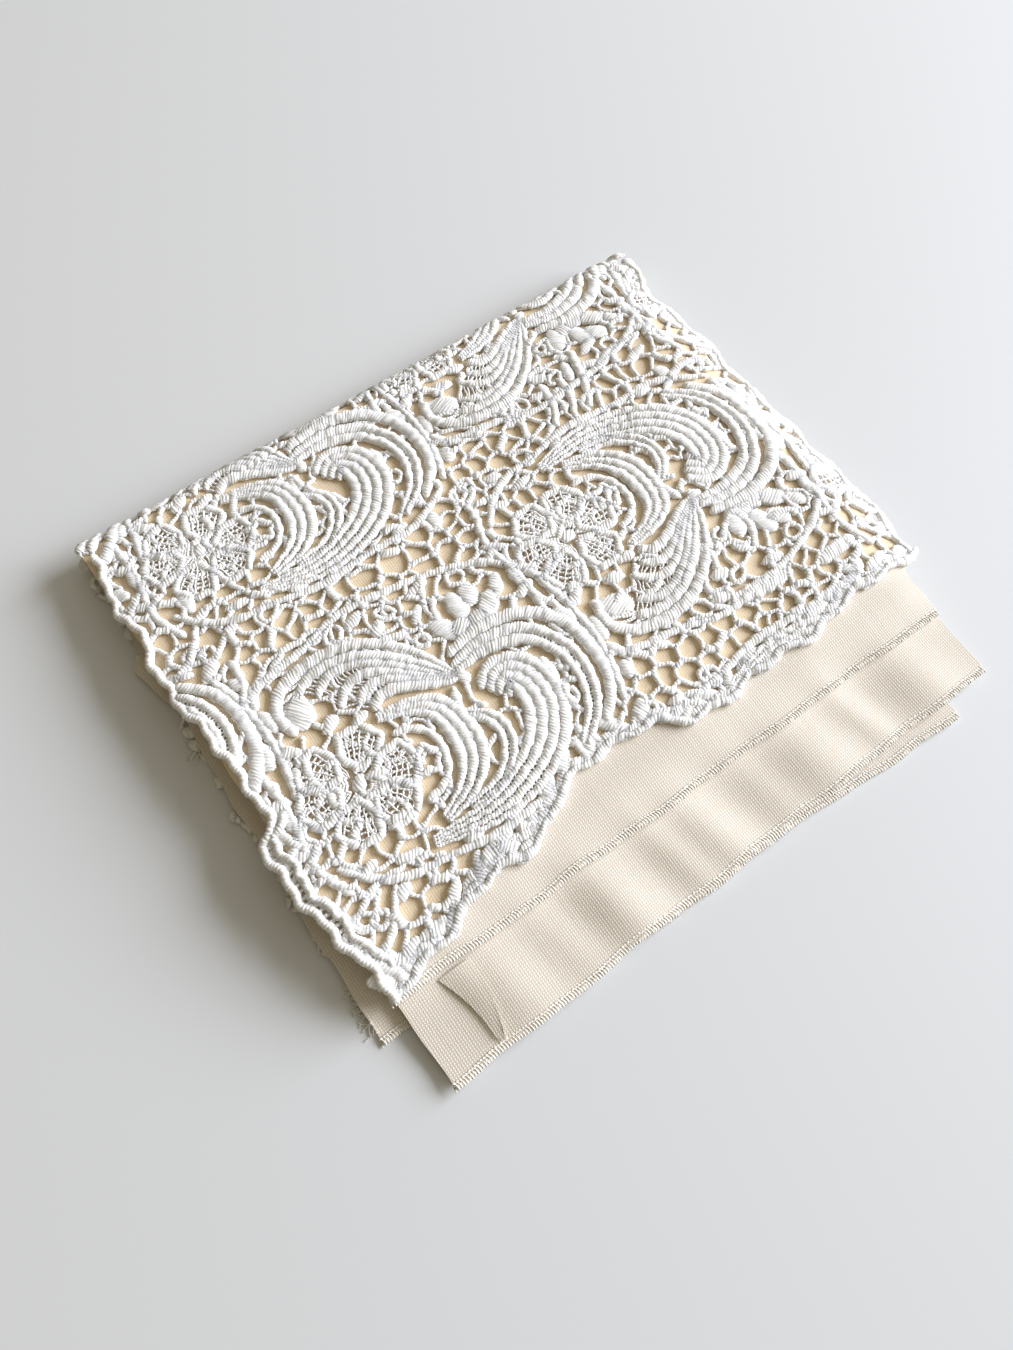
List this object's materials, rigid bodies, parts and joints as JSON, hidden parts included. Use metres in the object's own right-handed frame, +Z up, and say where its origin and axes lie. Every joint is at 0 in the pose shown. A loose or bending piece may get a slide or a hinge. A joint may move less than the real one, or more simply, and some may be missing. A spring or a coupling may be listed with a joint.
{
  "type": "ring bearer pillow",
  "caption": "Folded lace cover with scalloped front over serged linings and a thin wadding pad; the upper half opens at the back fold.",
  "frame": {"origin": "centre of the outline, on the surface the pillow lies on", "axes": "+X along the back fold, +Y towards the fold, +Z up; the lace face is up and the hems are at -Y"},
  "size_m": [0.176, 0.1599, 0.0137],
  "materials": {
    "guipure_lace": "corded cotton lace, satin-stitched",
    "cotton_lining": "plain-weave cream lining, soft matt",
    "sewing_thread": "overlocked cotton thread",
    "pad_cotton": "plain cotton pad cover",
    "wadding": "bonded wadding"
  },
  "bodies": {
    "base": {"base_lace": "guipure_lace", "base_lining": "cotton_lining", "base_overlock": "sewing_thread", "base_inner_lining": "cotton_lining", "base_inner_overlock": "sewing_thread", "pad_cover_bottom": "pad_cotton", "pad_wadding": "wadding", "pad_cover_top": "pad_cotton", "fold_lace": "guipure_lace", "fold_lining": "cotton_lining", "fold_inner_lining": "cotton_lining"},
    "flap": {"flap_inner_lining": "cotton_lining", "flap_inner_overlock": "sewing_thread", "corner_turnback": "cotton_lining", "flap_top_lining": "cotton_lining", "flap_top_overlock": "sewing_thread", "lace_top": "guipure_lace", "side_edge_cord": "sewing_thread"}
  },
  "joints": [
    {"name": "fold_open", "type": "hinge", "parent": "base", "child": "flap", "pos_m": [0, 0.07475, 0.0051], "axis": [-1, 0, 0], "range_deg": [0, 178], "deforming": ["fold_lace", "fold_lining", "fold_inner_lining"]}
  ]
}
